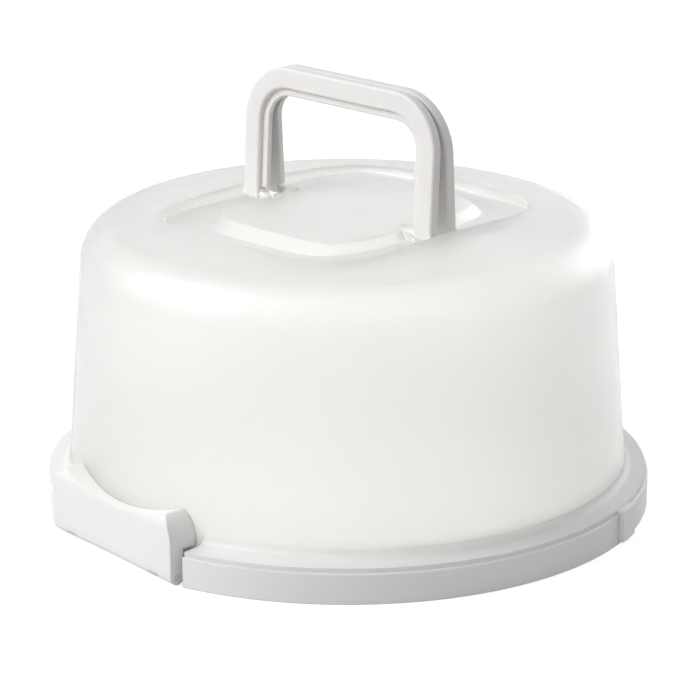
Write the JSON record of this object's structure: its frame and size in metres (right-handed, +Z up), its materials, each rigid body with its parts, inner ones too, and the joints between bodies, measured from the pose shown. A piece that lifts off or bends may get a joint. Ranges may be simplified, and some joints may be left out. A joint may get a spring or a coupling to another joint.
{
  "type": "cake carrier",
  "caption": "Round cake carrier with a shallow tray, a frosted domed lid, a folding two-bail handle and two long edge latches.",
  "frame": {"origin": "middle of the tray's underside, on the table", "axes": "+Z up, -Y towards the front latch, X along the latches' hinge rods"},
  "size_m": [0.3, 0.29, 0.2116],
  "materials": {
    "tray_plastic": "satin",
    "lid_plastic": "frosted translucent",
    "handle_plastic": "satin",
    "rod_steel": "drawn"
  },
  "bodies": {
    "base": {"base_tray": "tray_plastic", "front_hinge_rod": "rod_steel", "rear_hinge_rod": "rod_steel"},
    "lid": {"dome_lid": "lid_plastic"},
    "front_bail": {"front_bail": "handle_plastic"},
    "rear_bail": {"rear_bail": "handle_plastic"},
    "front_latch": {"front_latch": "handle_plastic"},
    "rear_latch": {"rear_latch": "handle_plastic"}
  },
  "joints": [
    {"name": "lid_lift", "type": "slide", "parent": "base", "child": "lid", "axis": [0, 0, 1], "range_m": [0, 0.15]},
    {"name": "front_bail_fold", "type": "hinge", "parent": "lid", "child": "front_bail", "pos_m": [0.00077, -0.00676, 0.1448], "axis": [0.9936, 0.1132, 0], "range_deg": [0, 93]},
    {"name": "rear_bail_fold", "type": "hinge", "parent": "lid", "child": "rear_bail", "pos_m": [-0.00077, 0.00676, 0.1448], "axis": [-0.9936, -0.1132, 0], "range_deg": [0, 93]},
    {"name": "front_latch_swing", "type": "hinge", "parent": "base", "child": "front_latch", "pos_m": [0, -0.1414, 0.0039], "axis": [1, 0, 0], "range_deg": [0, 88]},
    {"name": "rear_latch_swing", "type": "hinge", "parent": "base", "child": "rear_latch", "pos_m": [0, 0.1414, 0.0039], "axis": [-1, 0, 0], "range_deg": [0, 88]}
  ]
}
